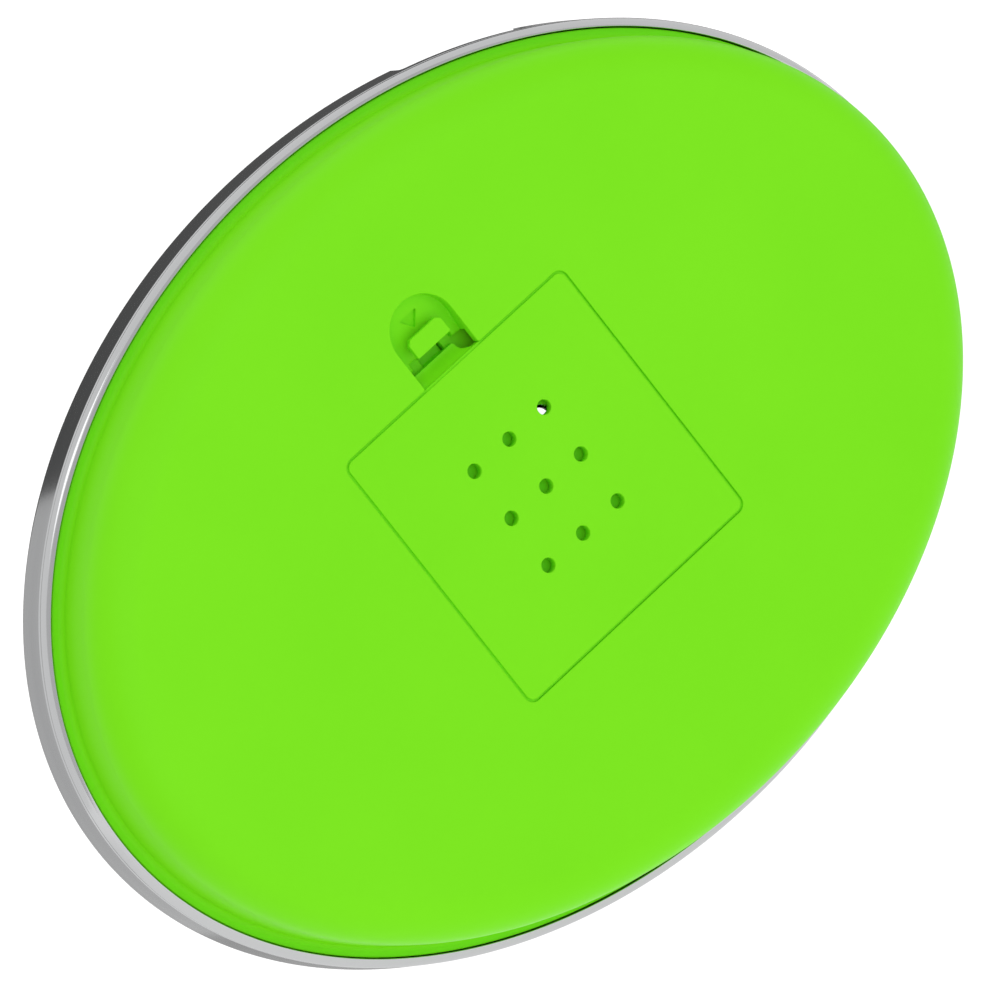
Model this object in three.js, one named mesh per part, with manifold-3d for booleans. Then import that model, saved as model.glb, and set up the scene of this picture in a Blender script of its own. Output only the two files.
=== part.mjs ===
// Flat oval hanging wasp trap. Millimetres, +Z up, long axis along X.
// The lime rear face with the bait hatch looks along -Y, the clear entry window along +Y.
// Everything is drawn with the rear face at y = 0, and the finished group is centred in Y at the end.

import * as THREE from 'three';
import { mergeVertices } from 'three/addons/utils/BufferGeometryUtils.js';
import Module from 'manifold-3d';

const wasm = await Module();
wasm.setup();

// ---------- driving dimensions ----------

const HALF_LENGTH = 106.7; // seam oval between the lime shell and the steel bezel
const HALF_HEIGHT = 78.9;
const AROUND = 56; // sides of every oval ring
const GAP = 0.3; // clearance between pieces that meet

const WALL = 2;
const SHOULDER_R = 9;
const SHOULDER_OFFSET = -11.4; // where the flat rear face ends, measured inward from the seam
const LIP_Y = 19.3;
const LIP_OFFSET = -0.15;
const SPIGOT_Y = 26;
const SPIGOT_OFFSET = -1.2;

const HEM = { inner: 0.15, centre: -0.05, y: 20.86, r: 2.48 }; // rolled edge, flattest beside the lime lip
const HEM_BACK_Y = 20.6;
const BAND_OFFSET = 2.4;
const BAND_FRONT_Y = 29.2;
const STEEL = 0.6;
const BEVEL = 0.3; // the bezel's front edge
const BEZEL_INNER = -4; // inner edge of the bezel's front lip
const NOTCH = { x0: 38, x1: 64, y: 23.4 }; // thumb notch in the band

const FRAME_FLANGE_Y = 26.3;
const FRAME_INNER = -13;
const WINDOW_FLANGE_Y = 28.5;
const WINDOW_OUTER = -4.3;
const WINDOW_FACE_Y = 32.2;
const WINDOW_T = 1.6;

const DOOR_HALF = 30;
const DOOR_R = 1.7;
const DOOR_T = 2.4;
const DOOR_GAP = 0.5;
const TONGUE = { x: 18, halfX: 4, t: 1.4, rootZ: -27.5, neckZ: -29.5, tipZ: -32.5 }; // hooks behind the doorway
const HOLE_R = 1.5;
const HOLE_PITCH = { x: 9.75, z: 11.96 };

const BORE_R = 1.35; // every screw and rivet hole
const ROOT_Y = 1.5; // what stands on the shell's inside starts here, inside its wall
const WELL = { halfX: 34, z0: -37, z1: 43, r: 4, depth: 17 }; // walled bay behind the hatch
const LEDGE = { x: 28.3, z0: -26, z1: 28, y: 4.2 }; // steps beside the hatch's edges
const SHELF = { z0: 27.5, y: 8.6, t: 1.5 }; // closes the bay behind the latch
const BOSS_R = 3.4;
const RECESS = { halfX: 7.4, arcZ: 39.2, endZ: 33.9, endDepth: 4.1, slope: 0.19, floorT: 1.5 };
const CUP = { halfX: 9.5, z1: 48.8 }; // the block that the recess is cut from
const TAB_SLOT = { wideX: 5.3, wideZ: 35.5, halfX: 3.2, z1: 38.3 };
const RAMP = { z: 33, y: 3.9, t: 1.3 }; // the hatch's sloping edge in the recess ends here
const TAB = { halfX: 4.4, z0: 35.9, z1: 39.9, chamfer: 1.1, y: 0.2, t: 1.3 };
const SPRING = { halfX: 2.6, y: 7.9, t: 1.2 };
const LAND = { y: RAMP.y + RAMP.t + GAP, z0: 28.5, z1: 36.5 }; // raised from the shelf beside the spring

const TRAY = { halfX: 26, z0: -24, z1: 24, y0: DOOR_T + GAP, floorT: 2, y1: 13, wall: 1.5 };
const TRAY_PORT = { x: 8.69, z: 9.66, r: 3.1 };
const RETAINER = { y: TRAY.y1 + GAP, t: 1.5, port: { x: 12.32, z: 7.09, r: 2.4 } };
const RETAINER_SLOT = { perSide: 3, pitch: 6.4, halfW: 2, z0: -19, z1: 0 };
const PAD = { halfX: 22, z0: -21, z1: 2, y: TRAY.y0 + TRAY.floorT + GAP, t: 7.8 };

const GRILLE = { halfX: 41, z0: -38, z1: 44, y: WELL.depth + GAP, t: 2, r: 4 };
const GRILLE_SLOT = { perSide: 5, pitch: 5.1, halfW: 1.6, zRanges: [[-32, 1], [5, 38]] };
const GRILLE_SCREWS = { x: 36.8, zs: [-30, 36], length: 8 };
const PAN_HEAD = { shankR: 1, r: 2.1, topR: 1.5, t: 1.4, slotDepth: 0.5, slotHalfW: 0.3 };

const FUNNEL = { x: 60, z: 20, mouthR: 9.5, throatR: 4, wall: 1.2, tipY: 17.5, collar: 1.4 };
const WINDOW_SCREWS = { count: 6, offset: -8.5, length: 4 };

const BRACKET = { halfX: 12, z0: 66.4, z1: 73.2, r: 2, t: 1, knuckleHalfX: 4.5, webHalfZ: 1.6 };
const RIVET = {
  x: 8.5,
  z: 70,
  shankR: 1,
  head: { r: 2.1, topR: 1.2, t: 0.9 },
  foot: { r: 2, tipR: 1.3, t: 0.8 },
};
const LOOP = { pivotY: 33.6, pivotZ: 70.5, wireR: 1, halfX: 13, drop: 33, topCornerR: 3, cornerR: 9 };
const KNUCKLE_R = 2.1;
const DEPTH = LOOP.pivotY + KNUCKLE_R; // overall, rear face to hanger knuckle

// ---------- materials ----------

const paint = (color, roughness, metalness = 0, more = {}) =>
  new THREE.MeshStandardMaterial({ color, roughness, metalness, ...more });
const LIME = paint(0x7ee625, 0.45);
const BLACK = paint(0x1c1d1c, 0.55);
const RUBBER = paint(0x101210, 0.85);
const STAINLESS = paint(0xb8b9bb, 0.25, 1);
const SCREW_STEEL = paint(0x9fa1a3, 0.35, 1);
const CLEAR = paint(0xe8f2f0, 0.05, 0, { transparent: true, opacity: 0.3 });
const FELT = paint(0xe6dfc8, 0.95);

// ---------- solids ----------

function toSolid(geometry) {
  const bare = geometry.clone();
  bare.deleteAttribute('normal');
  bare.deleteAttribute('uv');
  const merged = mergeVertices(bare, 1e-4);
  return new wasm.Manifold(
    new wasm.Mesh({
      numProp: 3,
      vertProperties: new Float32Array(merged.attributes.position.array),
      triVerts: new Uint32Array(merged.index.array),
    }),
  );
}

function toGeometry(solid) {
  const mesh = solid.getMesh();
  const geometry = new THREE.BufferGeometry();
  geometry.setAttribute('position', new THREE.Float32BufferAttribute(mesh.vertProperties, 3));
  geometry.setIndex(Array.from(mesh.triVerts));
  geometry.computeVertexNormals();
  return geometry;
}

const join = (first, ...rest) => rest.reduce((whole, piece) => whole.add(piece), first);
const cut = (first, ...rest) => rest.reduce((whole, piece) => whole.subtract(piece), first);

function box(x0, x1, y0, y1, z0, z1) {
  const geometry = new THREE.BoxGeometry(x1 - x0, y1 - y0, z1 - z0);
  return toSolid(geometry.translate((x0 + x1) / 2, (y0 + y1) / 2, (z0 + z1) / 2));
}

// A cylinder or cone along Y, from radius r0 at y0 to r1 at y1.
function coneY(x, z, r0, r1, y0, y1, sides = 16) {
  const geometry = new THREE.CylinderGeometry(r1, r0, y1 - y0, sides);
  return toSolid(geometry.translate(x, (y0 + y1) / 2, z));
}

const rodY = (x, z, r, y0, y1, sides = 16) => coneY(x, z, r, r, y0, y1, sides);

// A shape drawn in X and Z, with its thickness from y0 to y1.
function plateY(shape, y0, y1, curveSegments = 6) {
  const geometry = new THREE.ExtrudeGeometry(shape, { depth: y1 - y0, bevelEnabled: false, curveSegments });
  return toSolid(geometry.rotateX(Math.PI / 2).translate(0, y1, 0));
}

// A profile of [z, y] points, drawn along X from x0 to x1.
function barX(profile, x0, x1) {
  const shape = new THREE.Shape(profile.map(([z, y]) => new THREE.Vector2(y, z)));
  const geometry = new THREE.ExtrudeGeometry(shape, { depth: x1 - x0, bevelEnabled: false });
  // Shape (y, z) and depth x turn into (x, y, z): a cyclic change of axes.
  const place = new THREE.Matrix4().set(0, 0, 1, x0, 1, 0, 0, 0, 0, 1, 0, 0, 0, 0, 0, 1);
  return toSolid(geometry.applyMatrix4(place));
}

function roundedRect(x0, x1, z0, z1, r) {
  const shape = new THREE.Shape();
  shape.moveTo(x0 + r, z0);
  shape.lineTo(x1 - r, z0);
  shape.absarc(x1 - r, z0 + r, r, -Math.PI / 2, 0);
  shape.lineTo(x1, z1 - r);
  shape.absarc(x1 - r, z1 - r, r, 0, Math.PI / 2);
  shape.lineTo(x0 + r, z1);
  shape.absarc(x0 + r, z1 - r, r, Math.PI / 2, Math.PI);
  shape.lineTo(x0, z0 + r);
  shape.absarc(x0 + r, z0 + r, r, Math.PI, 1.5 * Math.PI);
  return shape;
}

// The point at angle t, moved outward from the seam oval along its normal.
function onOval(t, offset) {
  const nx = Math.cos(t) / HALF_LENGTH;
  const nz = Math.sin(t) / HALF_HEIGHT;
  const n = Math.hypot(nx, nz);
  return [HALF_LENGTH * Math.cos(t) + (offset * nx) / n, HALF_HEIGHT * Math.sin(t) + (offset * nz) / n];
}

// A section of [offset, y] points swept round the oval. An open section is capped at both ends
// by a flat face, and a closed one makes a ring.
function sweepOval(section, closed) {
  const points = [];
  const faces = [];
  const count = section.length;
  for (let i = 0; i < AROUND; i++) {
    const t = (2 * Math.PI * i) / AROUND;
    for (const [offset, y] of section) {
      const [x, z] = onOval(t, offset);
      points.push(x, y, z);
    }
  }
  const at = (i, j) => (i % AROUND) * count + (j % count);
  for (let i = 0; i < AROUND; i++) {
    for (let j = 0; j < (closed ? count : count - 1); j++) {
      faces.push(at(i, j), at(i + 1, j + 1), at(i + 1, j), at(i, j), at(i, j + 1), at(i + 1, j + 1));
    }
  }
  if (!closed) {
    const first = points.length / 3;
    points.push(0, section[0][1], 0, 0, section[count - 1][1], 0);
    for (let i = 0; i < AROUND; i++) {
      faces.push(first, at(i, 0), at(i + 1, 0));
      faces.push(first + 1, at(i + 1, count - 1), at(i, count - 1));
    }
  }
  const geometry = new THREE.BufferGeometry();
  geometry.setAttribute('position', new THREE.Float32BufferAttribute(points, 3));
  geometry.setIndex(faces);
  return toSolid(geometry);
}

// Points on an arc in a section, from angle a0 to a1 in degrees: 0 is outward, 90 towards +Y.
function arc(offset, y, r, a0, a1, steps) {
  return Array.from({ length: steps + 1 }, (_, i) => {
    const a = THREE.MathUtils.degToRad(a0 + ((a1 - a0) * i) / steps);
    return [offset + r * Math.cos(a), y + r * Math.sin(a)];
  });
}

// ---------- rear case ----------

function rearShell() {
  const innerR = SHOULDER_R - WALL;
  const skin = sweepOval(
    [
      ...arc(SHOULDER_OFFSET, SHOULDER_R, SHOULDER_R, -90, 0, 4),
      [SHOULDER_OFFSET + SHOULDER_R + 0.1, LIP_Y],
      [LIP_OFFSET, LIP_Y],
      [LIP_OFFSET, LIP_Y + WALL],
      [SPIGOT_OFFSET, LIP_Y + WALL],
      [SPIGOT_OFFSET, SPIGOT_Y],
      [SPIGOT_OFFSET - WALL, SPIGOT_Y],
      [SPIGOT_OFFSET - WALL, LIP_Y + 1.2],
      [SHOULDER_OFFSET + innerR, LIP_Y],
      ...arc(SHOULDER_OFFSET, SHOULDER_R, innerR, 0, -90, 3),
    ],
    false,
  );

  const { halfX, z0, z1, r, depth } = WELL;
  const wellWall = cut(
    plateY(roundedRect(-halfX, halfX, z0, z1, r), ROOT_Y, depth),
    plateY(roundedRect(-halfX + WALL, halfX - WALL, z0 + WALL, z1 - WALL, r - WALL), 0, depth + 1),
  );
  const ledges = [-1, 1].map((side) => {
    const [x0, x1] = [side * LEDGE.x, side * (halfX - 1)].sort((a, b) => a - b);
    return box(x0, x1, ROOT_Y, LEDGE.y, LEDGE.z0, LEDGE.z1);
  });
  const shelf = box(1 - halfX, halfX - 1, SHELF.y, SHELF.y + SHELF.t, SHELF.z0, z1 - 1);
  const lands = [-1, 1].map((side) => {
    const [x0, x1] = [side * (SPRING.halfX + DOOR_GAP), side * CUP.halfX].sort((a, b) => a - b);
    return box(x0, x1, LAND.y, SHELF.y + 0.1, LAND.z0, LAND.z1);
  });
  const { endZ, endDepth } = RECESS;
  const cupBack = endDepth + RECESS.floorT;
  const cup = box(-CUP.halfX, CUP.halfX, ROOT_Y, cupBack, DOOR_HALF + DOOR_GAP, CUP.z1);
  const bosses = grilleScrewPlaces().map(([x, z]) => rodY(x, z, BOSS_R, ROOT_Y, depth, 12));

  const open = DOOR_HALF + DOOR_GAP;
  const doorway = plateY(roundedRect(-open, open, -open, open, DOOR_R + DOOR_GAP), -1, DOOR_T + GAP);
  const below = open - 1; // the finger recess runs into the doorway
  const outline = new THREE.Shape();
  outline.moveTo(-RECESS.halfX, below);
  outline.lineTo(RECESS.halfX, below);
  outline.lineTo(RECESS.halfX, RECESS.arcZ);
  outline.absarc(0, RECESS.arcZ, RECESS.halfX, 0, Math.PI);
  const farZ = RECESS.arcZ + RECESS.halfX + 1;
  const farDepth = endDepth - RECESS.slope * (farZ - endZ);
  const scoop = plateY(outline, -1, cupBack + 1, 10).intersect(
    barX(
      [
        [below - 1, -2],
        [below - 1, endDepth],
        [endZ, endDepth],
        [farZ, farDepth],
        [farZ, -2],
      ],
      -CUP.halfX,
      CUP.halfX,
    ),
  );
  const slots = [
    box(-RECESS.halfX, RECESS.halfX, -1, cupBack + 1, below, endZ),
    box(-TAB_SLOT.wideX, TAB_SLOT.wideX, -1, cupBack + 1, endZ - 1, TAB_SLOT.wideZ),
    box(-TAB_SLOT.halfX, TAB_SLOT.halfX, -1, cupBack + 1, endZ - 1, TAB_SLOT.z1),
  ];
  const pilots = grilleScrewPlaces().map(([x, z]) => rodY(x, z, BORE_R, depth - 9, depth + 1, 10));

  const solid = join(skin, wellWall, ...ledges, cup, ...bosses);
  const opened = cut(solid, doorway, scoop, ...slots, ...pilots);
  return join(opened, shelf, ...lands);
}

function sealRing() {
  const inner = SPIGOT_OFFSET + GAP;
  const y = LIP_Y + WALL + GAP;
  return sweepOval(
    [
      [inner, y],
      [-0.1, y],
      [-0.1, y + 1.6],
      [inner, y + 1.6],
    ],
    true,
  );
}

function grilleScrewPlaces() {
  return GRILLE_SCREWS.zs.flatMap((z) => [-1, 1].map((side) => [side * GRILLE_SCREWS.x, z]));
}

function baitGrille() {
  const { halfX, z0, z1, y, t, r } = GRILLE;
  const { perSide, pitch, halfW, zRanges } = GRILLE_SLOT;
  const slots = [];
  for (let i = -perSide; i <= perSide; i++) {
    for (const [slotZ0, slotZ1] of zRanges) {
      slots.push(box(i * pitch - halfW, i * pitch + halfW, y - 1, y + t + 1, slotZ0, slotZ1));
    }
  }
  const holes = grilleScrewPlaces().map(([x, z]) => rodY(x, z, BORE_R, y - 1, y + t + 1, 10));
  return cut(plateY(roundedRect(-halfX, halfX, z0, z1, r), y, y + t, 3), ...slots, ...holes);
}

// A pan-head screw that points along -Y, with the underside of its head at y.
function screw(x, z, y, length) {
  const { shankR, r, topR, t, slotDepth, slotHalfW } = PAN_HEAD;
  const shank = rodY(x, z, shankR, y - length, y + 0.1, 8);
  const head = coneY(x, z, r, topR, y, y + t, 12);
  const slot = box(x - topR, x + topR, y + t - slotDepth, y + t + 1, z - slotHalfW, z + slotHalfW);
  return cut(join(shank, head), slot);
}

// ---------- front cover ----------

function steelBezel() {
  const inside = BAND_OFFSET - STEEL;
  const ring = sweepOval(
    [
      [BEZEL_INNER, BAND_FRONT_Y - STEEL],
      [inside, BAND_FRONT_Y - STEEL],
      [inside - 0.1, HEM_BACK_Y],
      [HEM.inner, HEM_BACK_Y],
      [HEM.inner, HEM.y - HEM.r + 0.2],
      ...arc(HEM.centre, HEM.y, HEM.r, -82, -15, 7),
      [BAND_OFFSET - 0.2, HEM_BACK_Y - 0.2],
      [BAND_OFFSET, BAND_FRONT_Y - BEVEL],
      [BAND_OFFSET - BEVEL, BAND_FRONT_Y],
      [BEZEL_INNER, BAND_FRONT_Y],
    ],
    true,
  );
  return cut(ring, box(NOTCH.x0, NOTCH.x1, NOTCH.y, BAND_FRONT_Y + 1, 50, 90));
}

function coverFrame() {
  const outer = BAND_OFFSET - STEEL - 0.1 - GAP;
  const top = WINDOW_FLANGE_Y - GAP;
  const ring = sweepOval(
    [
      [FRAME_INNER, FRAME_FLANGE_Y],
      [0.2, FRAME_FLANGE_Y],
      [0.2, HEM_BACK_Y + GAP],
      [outer, HEM_BACK_Y + GAP],
      [outer, top],
      [FRAME_INNER, top],
    ],
    true,
  );
  const pilots = windowScrewPlaces().map(([x, z]) => rodY(x, z, BORE_R, FRAME_FLANGE_Y - 1, top + 1, 10));
  const rivets = rivetPlaces().map(([x, z]) => rodY(x, z, BORE_R, FRAME_FLANGE_Y - 1, top + 1, 10));
  return cut(ring, ...pilots, ...rivets);
}

function windowScrewPlaces() {
  const { count, offset } = WINDOW_SCREWS;
  return Array.from({ length: count }, (_, i) => onOval((2 * Math.PI * i) / count, offset));
}

function funnelPlaces() {
  return [
    [-1, 1],
    [1, 1],
    [-1, -1],
    [1, -1],
  ].map(([sx, sz]) => [sx * FUNNEL.x, sz * FUNNEL.z]);
}

function clearWindow() {
  const flangeTop = WINDOW_FLANGE_Y + WINDOW_T;
  const pane = sweepOval(
    [
      [-26, WINDOW_FACE_Y - WINDOW_T],
      [-20, WINDOW_FACE_Y - WINDOW_T - 0.5],
      [-14, WINDOW_FLANGE_Y],
      [WINDOW_OUTER, WINDOW_FLANGE_Y],
      [WINDOW_OUTER, flangeTop],
      [-13.5, flangeTop],
      [-20, WINDOW_FACE_Y - 0.5],
      [-26, WINDOW_FACE_Y],
    ],
    false,
  );
  const seats = funnelPlaces().map(([x, z]) => rodY(x, z, FUNNEL.mouthR + GAP, 20, 40, 20));
  const holes = [...windowScrewPlaces(), ...rivetPlaces()].map(([x, z]) => rodY(x, z, BORE_R, 20, 40, 10));
  return cut(pane, ...seats, ...holes);
}

// A funnel that narrows inward, with a collar that rests on the outside of the window.
function entryFunnel(x, z) {
  const { mouthR, throatR, wall, tipY, collar } = FUNNEL;
  const rim = WINDOW_FACE_Y + GAP;
  const profile = [
    [throatR, tipY],
    [throatR + wall, tipY],
    [mouthR, rim - 3.5],
    [mouthR, rim],
    [mouthR + 2, rim],
    [mouthR + 2, rim + 0.6],
    [mouthR + 1, rim + collar],
    [mouthR - 0.6, rim + collar],
    [mouthR - wall, rim],
    [throatR, tipY],
  ].map(([r, y]) => new THREE.Vector2(r, y));
  return toSolid(new THREE.LatheGeometry(profile, 16).translate(x, 0, z));
}

// ---------- hanger ----------

function rivetPlaces() {
  return [-1, 1].map((side) => [side * RIVET.x, RIVET.z]);
}

function hangerBracket() {
  const y = WINDOW_FLANGE_Y + WINDOW_T + GAP;
  const { halfX, z0, z1, r, t, knuckleHalfX, webHalfZ } = BRACKET;
  const { pivotY, pivotZ, wireR } = LOOP;
  const base = plateY(roundedRect(-halfX, halfX, z0, z1, r), y, y + t, 3);
  const tube = new THREE.CylinderGeometry(KNUCKLE_R, KNUCKLE_R, 2 * knuckleHalfX, 16).rotateZ(Math.PI / 2);
  const knuckle = toSolid(tube.translate(0, pivotY, pivotZ));
  const web = box(-knuckleHalfX, knuckleHalfX, y + t / 2, pivotY, pivotZ - webHalfZ, pivotZ + webHalfZ);
  const bore = new THREE.CylinderGeometry(wireR + GAP, wireR + GAP, 2 * halfX, 12).rotateZ(Math.PI / 2);
  const holes = rivetPlaces().map(([x, z]) => rodY(x, z, BORE_R, y - 1, y + t + 1, 10));
  return cut(join(base, knuckle, web), toSolid(bore.translate(0, pivotY, pivotZ)), ...holes);
}

function rivet(x, z) {
  const { shankR, head, foot } = RIVET;
  const top = WINDOW_FLANGE_Y + WINDOW_T + GAP + BRACKET.t + GAP;
  const bottom = FRAME_FLANGE_Y - GAP;
  const shank = rodY(x, z, shankR, bottom - 0.1, top + 0.1, 8);
  const upper = coneY(x, z, head.r, head.topR, top, top + head.t, 12);
  const lower = coneY(x, z, foot.tipR, foot.r, bottom - foot.t, bottom, 12);
  return join(shank, upper, lower);
}

// One wire bent round: a straight leg through the knuckle and a rounded loop that hangs below it.
function hangerLoop() {
  const { pivotY, pivotZ, wireR, halfX, drop, topCornerR, cornerR } = LOOP;
  const low = pivotZ - drop;
  const corner = (x, z, r, a0) =>
    Array.from({ length: 7 }, (_, i) => {
      const a = THREE.MathUtils.degToRad(a0 - 15 * i);
      return new THREE.Vector3(x + r * Math.cos(a), pivotY, z + r * Math.sin(a));
    });
  const points = [
    ...corner(halfX - topCornerR, pivotZ - topCornerR, topCornerR, 90),
    ...corner(halfX - cornerR, low + cornerR, cornerR, 0),
    ...corner(-halfX + cornerR, low + cornerR, cornerR, -90),
    ...corner(-halfX + topCornerR, pivotZ - topCornerR, topCornerR, 180),
  ];
  return wireRing(points, wireR, 8);
}

// A closed wire through points that lie in a plane of constant y.
function wireRing(points, r, sides) {
  const count = points.length;
  const across = new THREE.Vector3(0, 1, 0);
  const vertices = [];
  const faces = [];
  for (let i = 0; i < count; i++) {
    const before = points[(i + count - 1) % count];
    const after = points[(i + 1) % count];
    const inDirection = points[i].clone().sub(before).normalize();
    const outDirection = after.clone().sub(points[i]).normalize();
    const along = inDirection.clone().add(outDirection).normalize();
    const side = new THREE.Vector3().crossVectors(along, across);
    const stretch = 1 / Math.max(0.7, along.dot(outDirection));
    for (let j = 0; j < sides; j++) {
      const a = (2 * Math.PI * j) / sides;
      const p = points[i]
        .clone()
        .addScaledVector(side, r * stretch * Math.cos(a))
        .addScaledVector(across, r * Math.sin(a));
      vertices.push(p.x, p.y, p.z);
    }
  }
  for (let i = 0; i < count; i++) {
    for (let j = 0; j < sides; j++) {
      const a = i * sides + j;
      const b = i * sides + ((j + 1) % sides);
      const c = ((i + 1) % count) * sides + j;
      const d = ((i + 1) % count) * sides + ((j + 1) % sides);
      faces.push(a, d, b, a, c, d);
    }
  }
  const geometry = new THREE.BufferGeometry();
  geometry.setAttribute('position', new THREE.Float32BufferAttribute(vertices, 3));
  geometry.setIndex(faces);
  return toSolid(geometry);
}

// ---------- bait hatch ----------

function hatchDoor() {
  const plate = plateY(roundedRect(-DOOR_HALF, DOOR_HALF, -DOOR_HALF, DOOR_HALF, DOOR_R), 0, DOOR_T, 4);
  const holes = [];
  for (const column of [-1, 0, 1]) {
    for (const row of [-1, 0, 1]) {
      holes.push(rodY(column * HOLE_PITCH.x, row * HOLE_PITCH.z, HOLE_R, -1, DOOR_T + 1, 12));
    }
  }
  const ramp = barX(
    [
      [29, 0],
      [29, DOOR_T],
      [RAMP.z - 1.8, RAMP.y + RAMP.t],
      [RAMP.z, RAMP.y + RAMP.t],
      [RAMP.z, RAMP.y],
      [DOOR_HALF, 0],
    ],
    -RECESS.halfX + DOOR_GAP,
    RECESS.halfX - DOOR_GAP,
  );
  const { halfX, t, rootZ, neckZ, tipZ } = TONGUE;
  const tongues = [-TONGUE.x, TONGUE.x].map((x) =>
    join(
      box(x - halfX, x + halfX, DOOR_T - 0.5, DOOR_T + t, neckZ, rootZ),
      box(x - halfX, x + halfX, DOOR_T, DOOR_T + t, tipZ, rootZ),
    ),
  );
  return cut(join(plate, ramp, ...tongues), ...holes);
}

function lureTray() {
  const { halfX, z0, z1, y0, floorT, y1, wall } = TRAY;
  const hollow = roundedRect(-halfX + wall, halfX - wall, z0 + wall, z1 - wall, 1.5);
  return cut(
    plateY(roundedRect(-halfX, halfX, z0, z1, 3), y0, y1, 3),
    plateY(hollow, y0 + floorT, y1 + 1, 3),
    rodY(TRAY_PORT.x, TRAY_PORT.z, TRAY_PORT.r, y0 - 1, y0 + floorT + 1, 16),
  );
}

function lurePad() {
  return plateY(roundedRect(-PAD.halfX, PAD.halfX, PAD.z0, PAD.z1, 3), PAD.y, PAD.y + PAD.t, 3);
}

function padRetainer() {
  const { y, t, port } = RETAINER;
  const { perSide, pitch, halfW, z0, z1 } = RETAINER_SLOT;
  const slots = [];
  for (let i = -perSide; i <= perSide; i++) {
    slots.push(box(i * pitch - halfW, i * pitch + halfW, y - 1, y + t + 1, z0, z1));
  }
  return cut(
    plateY(roundedRect(-TRAY.halfX, TRAY.halfX, TRAY.z0, TRAY.z1, 3), y, y + t, 3),
    rodY(port.x, port.z, port.r, y - 1, y + t + 1, 16),
    ...slots,
  );
}

// A sprung U under the hatch's ramp that comes up again as the finger tab.
function latchTab() {
  const { halfX, z0, z1, chamfer, y, t } = TAB;
  const inner = RAMP.z - 1.4;
  const legTop = RAMP.y + RAMP.t + GAP;
  const outer = z0 + 0.3;
  const spring = barX(
    [
      [inner, legTop],
      [inner + SPRING.t, legTop],
      [inner + SPRING.t, SPRING.y - SPRING.t],
      [outer, SPRING.y - SPRING.t],
      [outer, y + t - 0.2],
      [outer + SPRING.t, y + t - 0.2],
      [outer + SPRING.t, SPRING.y],
      [inner, SPRING.y],
    ],
    -SPRING.halfX,
    SPRING.halfX,
  );
  const pad = new THREE.Shape();
  pad.moveTo(-halfX, z0);
  pad.lineTo(halfX, z0);
  pad.lineTo(halfX, z1 - chamfer);
  pad.lineTo(halfX - chamfer, z1);
  pad.lineTo(-halfX + chamfer, z1);
  pad.lineTo(-halfX, z1 - chamfer);
  return join(spring, plateY(pad, y, y + t));
}

// ---------- the trap ----------

const trap = new THREE.Group();
trap.position.y = -DEPTH / 2;

function add(name, solid, material) {
  const mesh = new THREE.Mesh(toGeometry(solid), material);
  mesh.name = name;
  trap.add(mesh);
}

add('rear_shell', rearShell(), LIME);
add('seal_ring', sealRing(), RUBBER);
add('bait_grille', baitGrille(), BLACK);
grilleScrewPlaces().forEach(([x, z], i) => {
  add(`grille_screw_${i + 1}`, screw(x, z, GRILLE.y + GRILLE.t + GAP, GRILLE_SCREWS.length), SCREW_STEEL);
});

add('steel_bezel', steelBezel(), STAINLESS);
add('cover_frame', coverFrame(), BLACK);
add('clear_window', clearWindow(), CLEAR);
funnelPlaces().forEach(([x, z], i) => add(`entry_funnel_${i + 1}`, entryFunnel(x, z), LIME));
windowScrewPlaces().forEach(([x, z], i) => {
  const underHead = WINDOW_FLANGE_Y + WINDOW_T + GAP;
  add(`window_screw_${i + 1}`, screw(x, z, underHead, WINDOW_SCREWS.length), SCREW_STEEL);
});
add('hanger_bracket', hangerBracket(), STAINLESS);
rivetPlaces().forEach(([x, z], i) => add(`bracket_rivet_${i + 1}`, rivet(x, z), SCREW_STEEL));
add('hanger_loop', hangerLoop(), STAINLESS);

add('hatch_door', hatchDoor(), LIME);
add('lure_tray', lureTray(), LIME);
add('lure_pad', lurePad(), FELT);
add('pad_retainer', padRetainer(), BLACK);
add('latch_tab', latchTab(), LIME);

export default trap;
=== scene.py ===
"""The looks of the flat oval hanging wasp trap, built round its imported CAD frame.

Shapes are drawn in millimetres with the lime rear face at y = 0 and facing -Y, and are moved
onto the frame when a piece is made. An outline is a closed loop of (x, z) points, drawn
anticlockwise with x to the right and z up. A section is a list of (offset, y) points, where the
offset is measured outward from the seam oval between the lime shell and the steel bezel.
"""

import math

import bmesh
import bpy
import numpy as np
from mathutils import Matrix, Vector, noise
from mathutils.geometry import delaunay_2d_cdt


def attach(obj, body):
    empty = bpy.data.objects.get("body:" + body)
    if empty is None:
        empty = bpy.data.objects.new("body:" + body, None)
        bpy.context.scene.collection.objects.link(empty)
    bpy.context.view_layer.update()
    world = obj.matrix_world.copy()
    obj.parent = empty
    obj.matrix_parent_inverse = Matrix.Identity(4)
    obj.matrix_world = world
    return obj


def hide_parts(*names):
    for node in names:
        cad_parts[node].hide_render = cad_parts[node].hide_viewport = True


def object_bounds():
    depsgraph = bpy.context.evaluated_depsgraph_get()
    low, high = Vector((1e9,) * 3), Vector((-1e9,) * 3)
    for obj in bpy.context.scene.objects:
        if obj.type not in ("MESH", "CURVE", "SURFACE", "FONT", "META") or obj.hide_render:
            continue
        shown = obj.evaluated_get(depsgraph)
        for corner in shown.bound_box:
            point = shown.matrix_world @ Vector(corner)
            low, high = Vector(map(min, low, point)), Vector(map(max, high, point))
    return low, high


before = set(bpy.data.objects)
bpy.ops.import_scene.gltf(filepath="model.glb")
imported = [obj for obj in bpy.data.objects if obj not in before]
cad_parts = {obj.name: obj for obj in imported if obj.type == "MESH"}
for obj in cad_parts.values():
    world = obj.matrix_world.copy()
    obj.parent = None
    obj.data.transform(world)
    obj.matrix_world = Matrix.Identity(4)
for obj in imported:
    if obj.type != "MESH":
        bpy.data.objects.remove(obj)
CAD_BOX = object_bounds()

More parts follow.
